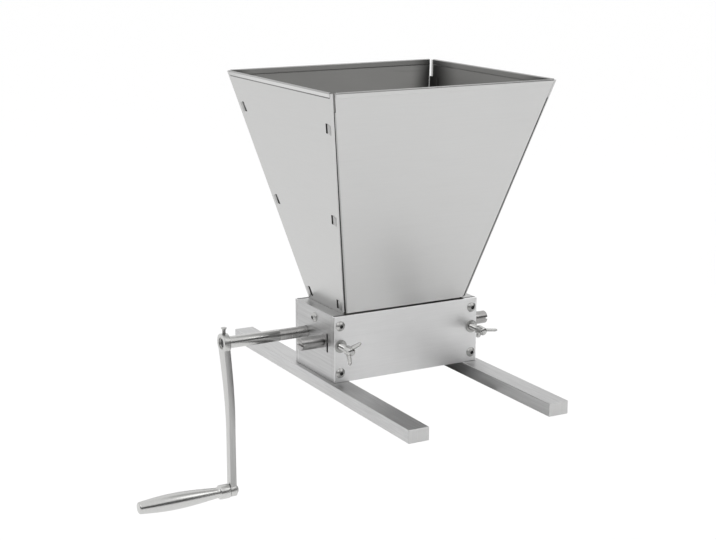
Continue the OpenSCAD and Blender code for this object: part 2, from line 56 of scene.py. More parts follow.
# Stray scratches are the peaks of long, slanting strokes
STROKE_TURN, STROKE_STRETCH = (0.4, 0.9, 0.6), (9.0, 160.0, 160.0)
STROKE_SCALE, STROKE_DETAIL = 2.0, 1.0
PEAK_FROM, PEAK_TO = 0.70, 0.76
SCRATCH_DULLING = 0.06
LINE_BUMP = 0.35


def new_group(name, inputs, outputs):
    """An empty shader node group with named sockets; returns it with its two end nodes."""
    group = bpy.data.node_groups.new(name, "ShaderNodeTree")
    for label, kind in inputs:
        group.interface.new_socket(label, in_out="INPUT", socket_type=kind)
    for label in outputs:
        group.interface.new_socket(label, in_out="OUTPUT", socket_type="NodeSocketFloat")
    return group, group.nodes.new("NodeGroupInput"), group.nodes.new("NodeGroupOutput")


def tool_marks_group():
    """Fine lines that a roller, brush, mill or lathe leaves, with slow clouds and stray scratches."""
    group, given, result = new_group(
        "tool_marks",
        [("Place", "NodeSocketVector"), ("Stretch", "NodeSocketVector"),
         ("Line scale", "NodeSocketFloat"), ("Cloud scale", "NodeSocketFloat")],
        ["Lines", "Clouds", "Scratches"])
    make, wire = group.nodes.new, group.links.new

    drawn = make("ShaderNodeVectorMath")
    drawn.operation = "MULTIPLY"
    wire(given.outputs["Place"], drawn.inputs[0])
    wire(given.outputs["Stretch"], drawn.inputs[1])
    lines = make("ShaderNodeTexNoise")
    lines.inputs["Detail"].default_value = LINE_DETAIL
    lines.inputs["Roughness"].default_value = LINE_ROUGHNESS
    wire(drawn.outputs["Vector"], lines.inputs["Vector"])
    wire(given.outputs["Line scale"], lines.inputs["Scale"])
    wire(lines.outputs["Fac"], result.inputs["Lines"])

    clouds = make("ShaderNodeTexNoise")
    clouds.inputs["Detail"].default_value = CLOUD_DETAIL
    wire(given.outputs["Place"], clouds.inputs["Vector"])
    wire(given.outputs["Cloud scale"], clouds.inputs["Scale"])
    wire(clouds.outputs["Fac"], result.inputs["Clouds"])

    slanted = make("ShaderNodeMapping")
    slanted.inputs["Rotation"].default_value = STROKE_TURN
    slanted.inputs["Scale"].default_value = STROKE_STRETCH
    wire(given.outputs["Place"], slanted.inputs["Vector"])
    strokes = make("ShaderNodeTexNoise")
    strokes.inputs["Scale"].default_value = STROKE_SCALE
    strokes.inputs["Detail"].default_value = STROKE_DETAIL
    wire(slanted.outputs["Vector"], strokes.inputs["Vector"])
    thin = make("ShaderNodeMapRange")
    thin.inputs["From Min"].default_value = PEAK_FROM
    thin.inputs["From Max"].default_value = PEAK_TO
    wire(strokes.outputs["Fac"], thin.inputs["Value"])
    wire(thin.outputs["Result"], result.inputs["Scratches"])
    return group


TOOL_MARKS = tool_marks_group()


def spread(nodes, links, source, low, high):
    """Spread the middle of a noise over the range low to high."""
    ranged = nodes.new("ShaderNodeMapRange")
    ranged.inputs["From Min"].default_value = NOISE_LOW
    ranged.inputs["From Max"].default_value = NOISE_HIGH
    ranged.inputs["To Min"].default_value = low
    ranged.inputs["To Max"].default_value = high
    ranged.clamp = False
    links.new(source, ranged.inputs["Value"])
    return ranged.outputs["Result"]


def colour_product(nodes):
    """A Mix node that multiplies one colour by another."""
    product = nodes.new("ShaderNodeMix")
    product.data_type = "RGBA"
    product.blend_type = "MULTIPLY"
    product.inputs["Factor"].default_value = 1.0
    return product


def bare_metal(name, tint, roughness, stretch, line_scale, line_tone=0.04, cloud_scale=18.0,
               cloud_tone=0.04, swing=0.05, depth=0.02):
    """Bare metal: its colour, its gloss, and the direction and size of its tool marks."""
    finish = bpy.data.materials.new(name)
    finish.use_nodes = True
    nodes, links = finish.node_tree.nodes, finish.node_tree.links
    shader = nodes["Principled BSDF"]
    shader.inputs["Metallic"].default_value = 1.0

    place = nodes.new("ShaderNodeTexCoord")
    marks = nodes.new("ShaderNodeGroup")
    marks.node_tree = TOOL_MARKS
    marks.inputs["Stretch"].default_value = stretch
    marks.inputs["Line scale"].default_value = line_scale
    marks.inputs["Cloud scale"].default_value = cloud_scale
    links.new(place.outputs["Object"], marks.inputs["Place"])

    line = spread(nodes, links, marks.outputs["Lines"], 1 - line_tone, 1 + line_tone)
    cloud = spread(nodes, links, marks.outputs["Clouds"], 1 - cloud_tone, 1 + cloud_tone)
    tone = nodes.new("ShaderNodeMath")
    tone.operation = "MULTIPLY"
    links.new(line, tone.inputs[0])
    links.new(cloud, tone.inputs[1])
    colour = colour_product(nodes)
    colour.inputs[MIX_A].default_value = (*tint, 1.0)
    links.new(tone.outputs["Value"], colour.inputs[MIX_B])
    links.new(colour.outputs[MIX_RESULT], shader.inputs["Base Color"])

    gloss = spread(nodes, links, marks.outputs["Clouds"], roughness - swing, roughness + swing)
    worn = nodes.new("ShaderNodeMath")
    worn.operation = "MULTIPLY_ADD"
    worn.inputs[1].default_value = SCRATCH_DULLING
    links.new(marks.outputs["Scratches"], worn.inputs[0])
    links.new(gloss, worn.inputs[2])
    links.new(worn.outputs["Value"], shader.inputs["Roughness"])

    bump = nodes.new("ShaderNodeBump")
    bump.inputs["Strength"].default_value = LINE_BUMP
    bump.inputs["Distance"].default_value = depth * MM
    links.new(marks.outputs["Lines"], bump.inputs["Height"])
    links.new(bump.outputs["Normal"], shader.inputs["Normal"])
    return finish


# Tool marks are drawn along an axis, turned round one, or the same every way
ALONG_X, ALONG_Y, ALONG_Z = (0.03, 1.0, 1.0), (1.0, 0.03, 1.0), (1.0, 1.0, 0.03)
ROUND_X, ROUND_Y = (1.0, 0.03, 0.03), (0.03, 1.0, 0.03)
EVERY_WAY = (1.0, 1.0, 1.0)
SHEET_LINES, SHEET_LINE_TONE = 900.0, 0.010


def sheet_metal(name, tint, roughness, stretch):
    """Rolled sheet, with fainter lines and broader clouds than machined metal has."""
    return bare_metal(name, tint, roughness, stretch, SHEET_LINES, SHEET_LINE_TONE,
                      cloud_scale=9.0, cloud_tone=0.02, depth=0.006)


FRONT_SHEET = sheet_metal("front_sheet", (0.65, 0.65, 0.645), 0.40, ALONG_X)
SIDE_SHEET = sheet_metal("side_sheet", (0.565, 0.565, 0.56), 0.33, ALONG_Y)
INNER_SHEET = sheet_metal("inner_sheet", (0.31, 0.308, 0.30), 0.58, ALONG_X)
# Painted shade on the sheets' bends, rolled rims, under the hem's lip and on the lugs
SHADED_SHEET = sheet_metal("painted_shade_sheet", (0.42, 0.42, 0.415), 0.36, ALONG_X)
# Painted highlight: the side sheets' hem band and cut edges take a brighter tint
HEM_HIGHLIGHT = sheet_metal("painted_hem_highlight", (0.66, 0.66, 0.655), 0.36, ALONG_Y)
# Painted shade in the side sheets' crease under the hem and deep in their bends
CREASE_SHADE = bare_metal("painted_crease_shade", (0.18, 0.18, 0.178), 0.40, ALONG_Y, SHEET_LINES, SHEET_LINE_TONE)
COVER_PLATE = bare_metal("milled_cover_plate", (0.90, 0.90, 0.90), 0.45, ALONG_X, 1100.0, 0.02, depth=0.01)
END_PLATE = bare_metal("milled_end_plate", (0.49, 0.49, 0.49), 0.36, ALONG_Y, 500.0, 0.10)
BAR = bare_metal("brushed_bar", (0.56, 0.56, 0.56), 0.40, ALONG_Y, 1300.0, 0.10)
SAWN_END = bare_metal("sawn_end", (0.68, 0.68, 0.675), 0.42, ALONG_Z, 1300.0, 0.04)
SCREW = bare_metal("screw_steel", (0.52, 0.52, 0.51), 0.42, ROUND_Y, 1500.0)
CROSS_SCREW = bare_metal("cross_screw_steel", (0.52, 0.52, 0.51), 0.42, ROUND_X, 1500.0)
# Near-black painted shade: in the screws' sockets, on the shaft's end in the hub, under the hopper's foot and
# deep in the front sheets' corner bends
SOCKET = bare_metal("socket_shade", (0.07, 0.07, 0.07), 0.45, EVERY_WAY, 1500.0, 0.2)
ROLLER = bare_metal("roller_steel", (0.24, 0.235, 0.23), 0.42, ROUND_X, 2200.0, 0.12, depth=0.1)
SHAFT = bare_metal("turned_shaft", (0.40, 0.395, 0.39), 0.30, ROUND_X, 1600.0, 0.12, depth=0.04)
BRONZE = bare_metal("bush_bronze", (0.55, 0.37, 0.19), 0.35, ROUND_X, 1200.0, 0.06)
SLEEVE = bare_metal("polished_sleeve", (0.55, 0.55, 0.54), 0.22, ROUND_X, 1500.0, 0.03, swing=0.03)
WING = bare_metal("cast_wing", (0.54, 0.54, 0.53), 0.24, EVERY_WAY, 700.0, 0.03)
ARM = bare_metal("drawn_arm", (0.56, 0.56, 0.55), 0.30, ALONG_Z, 1300.0, 0.05)
ARM_SIDE_SHADE = bare_metal("painted_arm_side_shade", (0.46, 0.46, 0.455), 0.38, ALONG_Z, 1300.0, 0.06)
GRIP = bare_metal("polished_grip", (0.58, 0.58, 0.57), 0.26, ROUND_X, 1500.0, 0.02, swing=0.03)


# Making of pieces

# Vertices closer than this are one: on turned pieces and cut plates, on copies of solids, along a sheet's cuts
FINE_JOIN, SOLID_JOIN, CUT_JOIN = 0.001, 0.002, 0.0001
# Angles between faces in degrees: joined as flat, eased as sharp, and shaded as one
FLAT_ANGLE, SHARP_ANGLE = 0.4, 28
SOFT_ANGLE, PLATE_SOFT_ANGLE, SHEET_SOFT_ANGLE, GRIP_SOFT_ANGLE = 24, 10, 30, 35
# How squarely a face looks along an axis, at least, to count as facing that way
SQUARE_ON, NEARLY_SQUARE = 0.9, 0.8
TURN_STEPS = 72


def chain(bm, places):
    """A row of vertices joined by edges."""
    row = [bm.verts.new(place) for place in places]
    for a, b in zip(row, row[1:]):
        bm.edges.new((a, b))
    return row


def row_edges(bm, row):
    return [bm.edges.get((a, b)) for a, b in zip(row, row[1:])]


def new_verts(made):
    return [part for part in made if isinstance(part, bmesh.types.BMVert)]


def pull(bm, row, places):
    """Extrude a row and set the new row at the given places."""
    fresh = new_verts(bmesh.ops.extrude_edge_only(bm, edges=row_edges(bm, row))["geom"])
    ordered = []
    for old in row:
        twin = min(fresh, key=lambda vert: (vert.co - old.co).length)
        fresh.remove(twin)
        ordered.append(twin)
    for vert, place in zip(ordered, places):
        vert.co = place
    return ordered


def turn(bm, profile, steps=TURN_STEPS):
    """Spin a profile of (place along the axis, radius) round the X axis."""
    row = chain(bm, [(along, radius, 0) for along, radius in profile])
    bmesh.ops.spin(bm, geom=row + row_edges(bm, row), cent=(0, 0, 0), axis=(1, 0, 0), dvec=(0, 0, 0),
                   angle=2 * math.pi, steps=steps, use_merge=True, use_duplicate=False)
    bmesh.ops.remove_doubles(bm, verts=bm.verts, dist=FINE_JOIN)
    bmesh.ops.recalc_face_normals(bm, faces=bm.faces)


def sharp_edges(edges, least):
    return [e for e in edges if e.is_manifold and e.calc_face_angle() > math.radians(least)]


def ease(bm, edges, width, segments=2):
    bmesh.ops.bevel(bm, geom=edges, offset=width, offset_type="OFFSET", affect="EDGES", segments=segments,
                    profile=0.5, clamp_overlap=True, material=-1)


def cut(bm, place, direction, join=CUT_JOIN):
    """Cut every face along a plane."""
    everything = bm.verts[:] + bm.edges[:] + bm.faces[:]
    bmesh.ops.bisect_plane(bm, geom=everything, dist=join, plane_co=place, plane_no=direction)


def set_down(name, bm, body, finish, nodes, soft=SOFT_ANGLE, others=()):
    """Make the mesh a piece of the mill: smooth where it is round, riding on its body."""
    for face in bm.faces:
        face.smooth = True
    for edge in bm.edges:
        edge.smooth = edge.is_manifold and edge.calc_face_angle() < math.radians(soft)
    mesh = bpy.data.meshes.new(name)
    bm.to_mesh(mesh)
    bm.free()
    stale = mesh.attributes.get("custom_normal")
    if stale:
        mesh.attributes.remove(stale)
    piece = bpy.data.objects.new(name, mesh)
    scene.collection.objects.link(piece)
    for layer in (finish, *others):
        mesh.materials.append(layer)
    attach(piece, body)
    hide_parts(*nodes)
    return piece


def eased_copy(node, body, finish, width, segments=2, soft=SOFT_ANGLE, ends=None):
    """A copy of a solid with the burr taken off its edges, in place of the solid itself.

    A sawn plate or bar has another finish on its ends, given with the axis that they look along."""
    bm = bmesh.new()
    bm.from_mesh(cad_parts[node].data)
    bmesh.ops.remove_doubles(bm, verts=bm.verts, dist=SOLID_JOIN * MM)
    bmesh.ops.dissolve_limit(bm, angle_limit=math.radians(FLAT_ANGLE), verts=bm.verts, edges=bm.edges)
    ease(bm, sharp_edges(bm.edges, SHARP_ANGLE), width * MM, segments)
    if ends:
        bm.normal_update()
        for face in bm.faces:
            face.material_index = 1 if abs(face.normal[ends[1]]) > NEARLY_SQUARE else 0
    return set_down(node + "_dressed", bm, body, finish, [node], soft, ends[:1] if ends else ())


def shade(piece, finish, chosen):
    """Give another finish to the faces that are chosen by their middle, in millimetres, and their normal."""
    mesh = piece.data
    mesh.materials.append(finish)
    for face in mesh.polygons:
        if chosen(face.center / MM, face.normal):
            face.material_index = len(mesh.materials) - 1


# Hopper: four sheets with rolled hems, joined by lugs in slots

SHEET = 1.0
# Half widths of the foot and the rim along X and Y, and their heights
FOOT_X, FOOT_Y, FOOT_Z = 64.0, 37.0, 74.0
RIM_X, RIM_Y, RIM_Z = 112.5, 106.0, 284.0
RISE = RIM_Z - FOOT_Z
SIDE_LEN = math.hypot(RIM_X - FOOT_X, RISE)
FRONT_LEN = math.hypot(RIM_Y - FOOT_Y, RISE)
SIDE_TILT = math.atan2(RIM_X - FOOT_X, RISE)
FRONT_TILT = math.atan2(RIM_Y - FOOT_Y, RISE)
EDGE_LEAN = math.atan2(RIM_Y - FOOT_Y, SIDE_LEN)
# The flanges of the front and back sheets lie this far under the outside of the side sheets
UNDERLAP = 1.15
LAP = UNDERLAP / math.cos(SIDE_TILT)

# Hem: its reach down the inside and the outside, how far it stands out, and the radius of its fold
HEM, CREASE, BULGE, ROLL = 5.8, 4.0, 0.6, 1.05
HEM_SOFT, HEM_STEPS = 0.3, 8
# Outlines as (up, outwards): the strip in the crease, and the hem's lower lip on the inside
CREASE_WIDTH = 1.4
CREASE_STRIP = [(-CREASE_WIDTH, -0.02), (-1.3, 0.04), (-HEM_SOFT, 0.04)]
HEM_LIP, LIP_SINK = [(0.9, 0.0), (0.2, 0.0), (0.05, 0.06), (0.0, 0.2)], 0.05
# How far the hems stop short of the sheets' corners, and the skins of the rim
SIDE_HEM_END, FRONT_HEM_END = 4.2, 3.4
SKIN_END = 0.8

# Side sheets: how far their sloping edges stand back, and their skirts, which go down inside the body
SIDE_SETBACK, LEFT_FOOT_SETBACK = 0.4, 2.4
FOOT_HALF, SKIRT_HALF, SKIRT = 34.2, 33.9, 16.0
FOOT_GAP = 1.7
FOOT_BEND, FOOT_BEND_STEPS = 1.0, 4
# Slots along the sloping edges, with the lowest one's height above the foot and the highest one's
# depth below the rim
SLOT_LEN, SLOT_W, SLOT_INSET = 9.5, 4.0, 12.0
LOWEST_SLOT, HIGHEST_SLOT = 8.7, 33.0
SLOT_ROWS = (LOWEST_SLOT, (LOWEST_SLOT + SIDE_LEN - HIGHEST_SLOT) / 2, SIDE_LEN - HIGHEST_SLOT)
SKIN_TOLERANCE = 0.3

# Front and back sheets: flanges, bends, and the flat tabs above the corner relief
FLANGE, CORNER, CORNER_STEP = 15.0, 2.2, 15
RELIEF, TAB_GAP = 17.0, 1.6
# Lugs: section as (across, outwards), play in the slot's length, and distance from the slot's side
LUG_SECTION = [(-0.5, -2.2), (0.5, -2.2), (0.5, -0.3), (4.4, -0.3), (4.4, 0.3), (-0.5, 0.3)]
LUG_PLAY, LUG_ROOT, LUG_EDGE = 0.6, 0.6, 0.12

# A sheet's finishes besides the outside, which is 0: inside, painted shade, edge (a painted highlight on the
# side sheets), and deep painted shade
INSIDE, SHADED, EDGE, DEEP = 1, 2, 3, 4
# How far the faces of a bend look outwards: from its deep part over its shallow part to the flat sheet
BEND_DEEP, BEND_SHALLOW, BEND_FLAT = 0.1, 0.7, 0.95
INSIDE_FACING, INSIDE_DEPTH = 0.2, 0.4
# Zones in which the other finishes are looked for
BELOW_HEM, SKIN_DEPTH, EDGE_ZONE, CORNER_STRIP = 2, 1.2, 0.6, 4.0
LIP_BELOW, LIP_ABOVE = 0.2, 0.3

# Painted shade in the corners inside: its width on the front and back, on the sides, and its darkest tone
BACK_SHADE, SIDE_SHADE, CORNER_SHADE_TONE = 26.0, 55.0, 0.16


def corner_shade_group():
    """Painted shade inside the hopper: dark in its four corners, and clear beside them."""
    group, given, result = new_group("corner_shade", [("Place", "NodeSocketVector")], ["Clean"])
    wire = group.links.new

    def figure(operation, *values):
        node = group.nodes.new("ShaderNodeMath")
        node.operation = operation
        for socket, value in zip(node.inputs, values):
            if isinstance(value, float):
                socket.default_value = value
            else:
                wire(value, socket)
        return node.outputs["Value"]

    place = group.nodes.new("ShaderNodeSeparateXYZ")
    wire(given.outputs["Place"], place.inputs["Vector"])
    from_walls = []
    for axis, foot, rim, width in (("X", FOOT_X, RIM_X, BACK_SHADE), ("Y", FOOT_Y, RIM_Y, SIDE_SHADE)):
        slope = (rim - foot) / RISE
        wall = figure("MULTIPLY_ADD", place.outputs["Z"], slope, (foot - FOOT_Z * slope) * MM)
        distance = figure("SUBTRACT", wall, figure("ABSOLUTE", place.outputs[axis]))
        from_walls.append(figure("DIVIDE", distance, width * MM))
    unshaded = group.nodes.new("ShaderNodeMapRange")
    unshaded.interpolation_type = "SMOOTHSTEP"
    unshaded.inputs["To Min"].default_value = CORNER_SHADE_TONE
    wire(figure("MAXIMUM", *from_walls), unshaded.inputs["Value"])
    wire(unshaded.outputs["Result"], result.inputs["Clean"])
    return group


def shade_corners(finish):
    """Darken a finish by the painted shade in the hopper's corners."""
    nodes, links = finish.node_tree.nodes, finish.node_tree.links
    shader = nodes["Principled BSDF"]
    shade_node = nodes.new("ShaderNodeGroup")
    shade_node.node_tree = corner_shade_group()
    links.new(nodes["Texture Coordinate"].outputs["Object"], shade_node.inputs["Place"])
    shaded_colour = colour_product(nodes)
    links.new(shader.inputs["Base Color"].links[0].from_socket, shaded_colour.inputs[MIX_A])
    links.new(shade_node.outputs["Clean"], shaded_colour.inputs[MIX_B])
    links.new(shaded_colour.outputs[MIX_RESULT], shader.inputs["Base Color"])


# Painted shade: the inside sheets darken towards the hopper's corners
shade_corners(INNER_SHEET)


def basis(origin, u, v, w):
    """A frame with its own axes; those of a flat sheet run along its foot, up its slope and outwards."""
    place = Matrix((u, v, w)).transposed().to_4x4()
    place.translation = Vector(origin)
    return place


SIDE_BASIS = basis((FOOT_X, 0, FOOT_Z), (0, 1, 0), (math.sin(SIDE_TILT), 0, math.cos(SIDE_TILT)),
                   (math.cos(SIDE_TILT), 0, -math.sin(SIDE_TILT)))
FRONT_BASIS = basis((0, -FOOT_Y, FOOT_Z), (1, 0, 0), (0, -math.sin(FRONT_TILT), math.cos(FRONT_TILT)),
                    (0, -math.cos(FRONT_TILT), -math.sin(FRONT_TILT)))
OUTWARDS = Vector((0, 0, 1))


def side_half(v):
    return FOOT_Y + (RIM_Y - FOOT_Y) * v / SIDE_LEN


def front_half(v):
    return FOOT_X + (RIM_X - FOOT_X) * v / FRONT_LEN


def hem_band(bm, length, half_at, end):
    """The rim folded over inwards and pressed flat: a soft-edged band round the sheet's upper end."""
    inner = BULGE - 2 * ROLL
    crease, fold, hem = length - CREASE, length - ROLL, length - HEM
    outline = [(crease + up, out) for up, out in CREASE_STRIP]
    outline += [(crease, BULGE), (crease + HEM_SOFT, BULGE), (fold - HEM_SOFT, BULGE)]
    for i in range(HEM_STEPS + 1):
        angle = math.pi * i / HEM_STEPS
        outline.append((fold + ROLL * math.sin(angle), BULGE - ROLL + ROLL * math.cos(angle)))
    outline.append((fold - HEM_SOFT, inner))
    outline += [(hem + up, inner + out) for up, out in HEM_LIP]
    outline.append((hem, LIP_SINK - SHEET))
    ring = [bm.verts.new((-half_at(v) + end, v, w)) for v, w in outline]
    far = new_verts(bmesh.ops.extrude_face_region(bm, geom=[bm.faces.new(ring)])["geom"])
    for vert in far:
        vert.co.x = -vert.co.x
    faces = list({f for vert in ring + far for f in vert.link_faces})
    bmesh.ops.recalc_face_normals(bm, faces=faces)
    ease(bm, list({edge for f in faces if len(f.verts) == len(ring) for edge in f.edges}), HEM_SOFT)


def thicken(bm, outward):
    """Point the skin outwards, then give it the sheet's thickness on the inside."""
    bmesh.ops.recalc_face_normals(bm, faces=bm.faces)
    widest = max(bm.faces, key=lambda face: face.calc_area())
    if widest.normal.dot(outward) < 0:
        bmesh.ops.reverse_faces(bm, faces=bm.faces)
    bmesh.ops.solidify(bm, geom=bm.faces[:], thickness=SHEET)


def part_finishes(bm, length, half_at, end, creased):
    """Choose each face's finish by its place on the sheet, its depth and the way it looks."""
    crease, hem = length - CREASE, length - HEM
    bm.normal_update()
    for face in bm.faces:
        u, v, w = face.calc_center_median()
        across, outward = face.normal.x, face.normal.z
        on_rim = v > length - ROLL
        in_crease = crease - CREASE_WIDTH < v < crease and w > 0
        below_hem = v < crease - BELOW_HEM
        on_bend = BEND_SHALLOW < outward < BEND_FLAT and below_hem
        in_bend = BEND_DEEP < outward <= BEND_SHALLOW and below_hem
        under_hem = hem - LIP_BELOW < v < hem + LIP_ABOVE and w < -SHEET
        on_skin = w > -SKIN_DEPTH
        on_edge = abs(across) > NEARLY_SQUARE and on_skin and abs(u) > half_at(v) - end - EDGE_ZONE
        in_corner = outward < -SQUARE_ON and on_skin and abs(u) > half_at(v) - CORNER_STRIP
        on_hem = v > crease and outward > SQUARE_ON
        if in_bend or (in_crease and creased):
            face.material_index = DEEP
        elif on_rim or on_bend or under_hem:
            face.material_index = SHADED
        elif on_hem or on_edge:
            face.material_index = EDGE
        elif w < -INSIDE_DEPTH and outward < INSIDE_FACING and not in_corner:
            face.material_index = INSIDE


def cut_beside_edge(bm, side, across):
    """Cut a side sheet along a line beside one of its sloping edges, this far across from it."""
    cut(bm, (side * (FOOT_Y - across), 0, 0), (side * math.cos(EDGE_LEAN), -math.sin(EDGE_LEAN), 0))


def cut_slots(bm, depth=0):
    """Cut a skin at some depth under the side sheet's outside along the slots' edges, and open them."""
    lean_c, lean_s = math.cos(EDGE_LEAN), math.sin(EDGE_LEAN)
    reach = SLOT_LEN / 2 * lean_c

    def from_edge(u, v):
        return FOOT_Y * lean_c - abs(u) * lean_c + v * lean_s

    for v in SLOT_ROWS:
        for end in (-reach, reach):
            cut(bm, (0, v + end, 0), (0, 1, 0))
    for side in (-1, 1):
        for inset in (SLOT_INSET - SLOT_W / 2, SLOT_INSET + SLOT_W / 2):
            cut_beside_edge(bm, side, inset / lean_c)
    taken = []
    for face in bm.faces:
        u, v, w = face.calc_center_median()
        in_row = any(abs(v - row) < reach for row in SLOT_ROWS)
        if in_row and abs(w + depth) < SKIN_TOLERANCE and abs(from_edge(u, v) - SLOT_INSET) < SLOT_W / 2:
            taken.append(face)
    bmesh.ops.delete(bm, geom=taken, context="FACES")


def side_sheet(name, node, mirrored):
    bm = bmesh.new()
    tilt_c, tilt_s = math.cos(SIDE_TILT), math.sin(SIDE_TILT)

    def row_at(v, w, half):
        return [(-half, v, w), (half, v, w)]

    row = chain(bm, row_at(-SKIRT * tilt_c, SKIRT * tilt_s, SKIRT_HALF))
    foot = pull(bm, row, row_at(0, 0, FOOT_HALF))
    bend = row_edges(bm, foot)
    ledge = pull(bm, foot, row_at(FOOT_GAP, 0, FOOT_HALF))
    setback = LEFT_FOOT_SETBACK if mirrored else SIDE_SETBACK
    ends = [bm.verts.new(place) for place in row_at(FOOT_GAP, 0, side_half(FOOT_GAP) - setback)]
    bm.edges.new((ends[0], ledge[0]))
    bm.edges.new((ledge[1], ends[1]))
    top = SIDE_LEN - SKIN_END
    left, right = row_at(top, 0, side_half(top) - SIDE_SETBACK)
    pull(bm, [ends[0], *ledge, ends[1]], [left, *row_at(top, 0, FOOT_HALF), right])
    ease(bm, bend, FOOT_BEND, FOOT_BEND_STEPS)
    for side in (-1, 1):
        cut_beside_edge(bm, side, CORNER_STRIP)
    cut_slots(bm)
    thicken(bm, OUTWARDS)
    hem_band(bm, SIDE_LEN, side_half, SIDE_HEM_END)
    part_finishes(bm, SIDE_LEN, side_half, SIDE_HEM_END, True)
    bm.transform(TO_METRES @ SIDE_BASIS)
    if mirrored:
        bm.transform(Matrix.Scale(-1, 4, (1, 0, 0)))
        bmesh.ops.reverse_faces(bm, faces=bm.faces)
    set_down(name, bm, "frame", SIDE_SHEET, [node], SHEET_SOFT_ANGLE,
             (INNER_SHEET, SHADED_SHEET, HEM_HIGHLIGHT, CREASE_SHADE))


def front_face(v):
    """The outline of the front sheet's flat face at one height, as (across, back)."""
    half = front_half(v) - LAP - CORNER
    return [(-half, 0), (half, 0)]


def front_section(v):
    """The bent sheet's outline at one height: flange, round corner and face, from left to right."""
    edge = front_half(v) - LAP
    right = [(edge, FLANGE)]
    for angle in range(0, 90, CORNER_STEP):
        turned = math.radians(angle)
        right.append((edge - CORNER + CORNER * math.cos(turned), CORNER - CORNER * math.sin(turned)))
    return [(-x, back) for x, back in right] + front_face(v) + [(x, back) for x, back in reversed(right)]


def front_sheet(name, node, mirrored):
    bm = bmesh.new()
    tilt_c, tilt_s = math.cos(FRONT_TILT), math.sin(FRONT_TILT)

    def row_at(v, w, section):
        return [(x, v - back * tilt_s, w - back * tilt_c) for x, back in section]

    relief = FRONT_LEN * (1 - RELIEF / SIDE_LEN)
    top = FRONT_LEN - SKIN_END
    row = chain(bm, row_at(FOOT_GAP, 0, front_section(FOOT_GAP)))
    row = pull(bm, row, row_at(relief, 0, front_section(relief)))
    middle = len(row) // 2
    flat = row[middle - 1:middle + 1]
    wide, top_wide = (front_half(v) - LAP - TAB_GAP for v in (relief, top))
    tabs = [bm.verts.new(place) for place in row_at(relief, 0, [(-wide, 0), (wide, 0)])]
    bm.edges.new((tabs[0], flat[0]))
    bm.edges.new((flat[1], tabs[1]))
    pull(bm, [tabs[0], *flat, tabs[1]],
         row_at(top, 0, [(-top_wide, 0), *front_face(top), (top_wide, 0)]))
    for side in (1, -1):
        to_side = (Matrix.Scale(side, 4, (1, 0, 0)) @ SIDE_BASIS).inverted() @ FRONT_BASIS
        bm.transform(to_side)
        cut_slots(bm, UNDERLAP)
        bm.transform(to_side.inverted())
    thicken(bm, OUTWARDS)
    hem_band(bm, FRONT_LEN, front_half, FRONT_HEM_END)
    part_finishes(bm, FRONT_LEN, front_half, FRONT_HEM_END, False)
    bm.transform(FRONT_BASIS)
    add_lugs(bm)
    bm.transform(TO_METRES)
    if mirrored:
        bm.transform(Matrix.Scale(-1, 4, (0, 1, 0)))
        bmesh.ops.reverse_faces(bm, faces=bm.faces)
    set_down(name, bm, "frame", FRONT_SHEET, [node], SHEET_SOFT_ANGLE,
             (INNER_SHEET, SHADED_SHEET, FRONT_SHEET, SOCKET))


def add_lugs(bm):
    """Lugs from the flanges that pass through the side sheets' slots and are folded flat towards the corner."""
    length = SLOT_LEN - LUG_PLAY
    lean = Matrix.Rotation(EDGE_LEAN, 4, "Z")
    for side in (1, -1):
        for v in SLOT_ROWS:
            at_slot = Matrix.Translation((-(side_half(v) - SLOT_INSET + SLOT_W / 2 - LUG_ROOT), v, 0))
            whole = Matrix.Scale(side, 4, (1, 0, 0)) @ SIDE_BASIS @ at_slot @ lean
            ring = [bm.verts.new(whole @ Vector((-across, -length / 2, w))) for across, w in LUG_SECTION]
            pulled = new_verts(bmesh.ops.extrude_face_region(bm, geom=[bm.faces.new(ring)])["geom"])
            bmesh.ops.translate(bm, verts=pulled, vec=whole.to_3x3() @ Vector((0, length, 0)))
            faces = list({f for vert in ring + pulled for f in vert.link_faces})
            bmesh.ops.recalc_face_normals(bm, faces=faces)
            for face in faces:
                face.material_index = SHADED
            ease(bm, list({edge for f in faces for edge in f.edges}), LUG_EDGE)


front_sheet("hopper_front_sheet", "hopper_front_panel", False)
front_sheet("hopper_back_sheet", "hopper_back_panel", True)
side_sheet("hopper_right_sheet", "hopper_right_panel", False)
side_sheet("hopper_left_sheet", "hopper_left_panel", True)


# Body and base

BURR = 0.15
SHADE_MARGIN = 0.5
# Cover screws as (x, z) and hopper screws as (y, z), with the depth of their sockets' bottoms
COVER_SCREWS, COVER_SOCKET = [(x, z) for x in (-70, 70) for z in (21, 65)], 40.5
HOPPER_SCREWS, HOPPER_SOCKET = [(0.0, 65)], 77.0
SOCKET_REACH = 1.9
X_AXIS, Y_AXIS = 0, 1


def paint_shadow_under_foot(plate):
    """The top of a plate under the hopper's foot, darkened by a painted shadow."""
    shaded_half = FOOT_Y + SHADE_MARGIN
    bm = bmesh.new()
    bm.from_mesh(plate.data)
    for y in (-shaded_half, shaded_half):
        cut(bm, (0, y * MM, 0), (0, 1, 0), FINE_JOIN * MM)
    bm.to_mesh(plate.data)
    bm.free()
    shade(plate, SOCKET, lambda middle, normal: normal.z > SQUARE_ON and abs(middle.y) < shaded_half)


for side in ("left", "right"):
    eased_copy(side + "_end_plate", "frame", END_PLATE, BURR, soft=PLATE_SOFT_ANGLE)
    bar = eased_copy(side + "_base_bar", "frame", BAR, BURR, soft=PLATE_SOFT_ANGLE,
                     ends=(SAWN_END, Y_AXIS))
    # Painted shade: the right bar's inner side takes the darker end plate finish, for the shade under the body
    # that it faces
    shade(bar, END_PLATE, lambda middle, normal: normal.x < -NEARLY_SQUARE and middle.x > 0)
